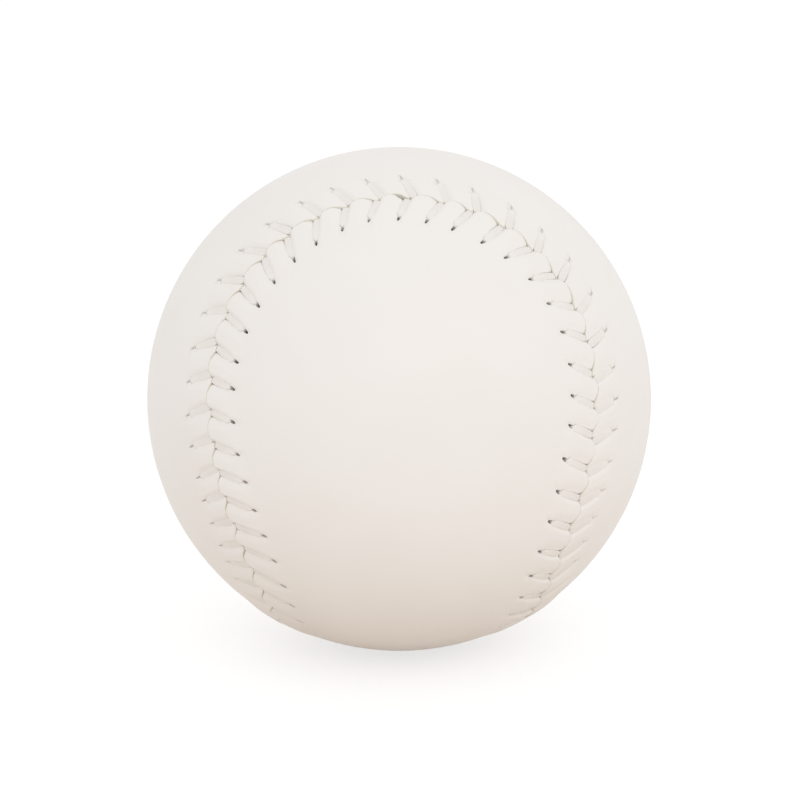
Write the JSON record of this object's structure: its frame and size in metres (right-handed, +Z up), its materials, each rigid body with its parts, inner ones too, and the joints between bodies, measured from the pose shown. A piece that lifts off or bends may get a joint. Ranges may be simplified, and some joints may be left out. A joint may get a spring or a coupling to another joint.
{
  "type": "stitched softball",
  "caption": "Two-panel stitched ball with a cork core, yarn winding, cemented synthetic leather cover and flat waxed-thread seam, for throwing, batting and catching",
  "frame": {"origin": "centre of the ball", "axes": "+Z up, along the axis about which the seam repeats every half turn; the front panel's lobes face -Y and +Y and its neck crosses the bottom, and the back panel's lobes face -X and +X and its neck crosses the top; -Y faces the picture's camera"},
  "size_m": [0.097, 0.097, 0.097],
  "materials": {
    "cork_rubber": "moulded cork granules bound with rubber",
    "yarn": "fine twisted yarn, wound tight",
    "latex": "dipped latex, satin",
    "cement": "dried rubber cement",
    "cover_leather": "white synthetic leather, fine grain, satin",
    "waxed_thread": "flat waxed cotton thread, off-white"
  },
  "bodies": {
    "root": {"cork_core": "cork_rubber", "yarn_winding": "yarn", "latex_coat": "latex", "front_cement": "cement", "back_cement": "cement", "front_panel": "cover_leather", "back_panel": "cover_leather", "first_thread": "waxed_thread", "second_thread": "waxed_thread"}
  },
  "joints": []
}
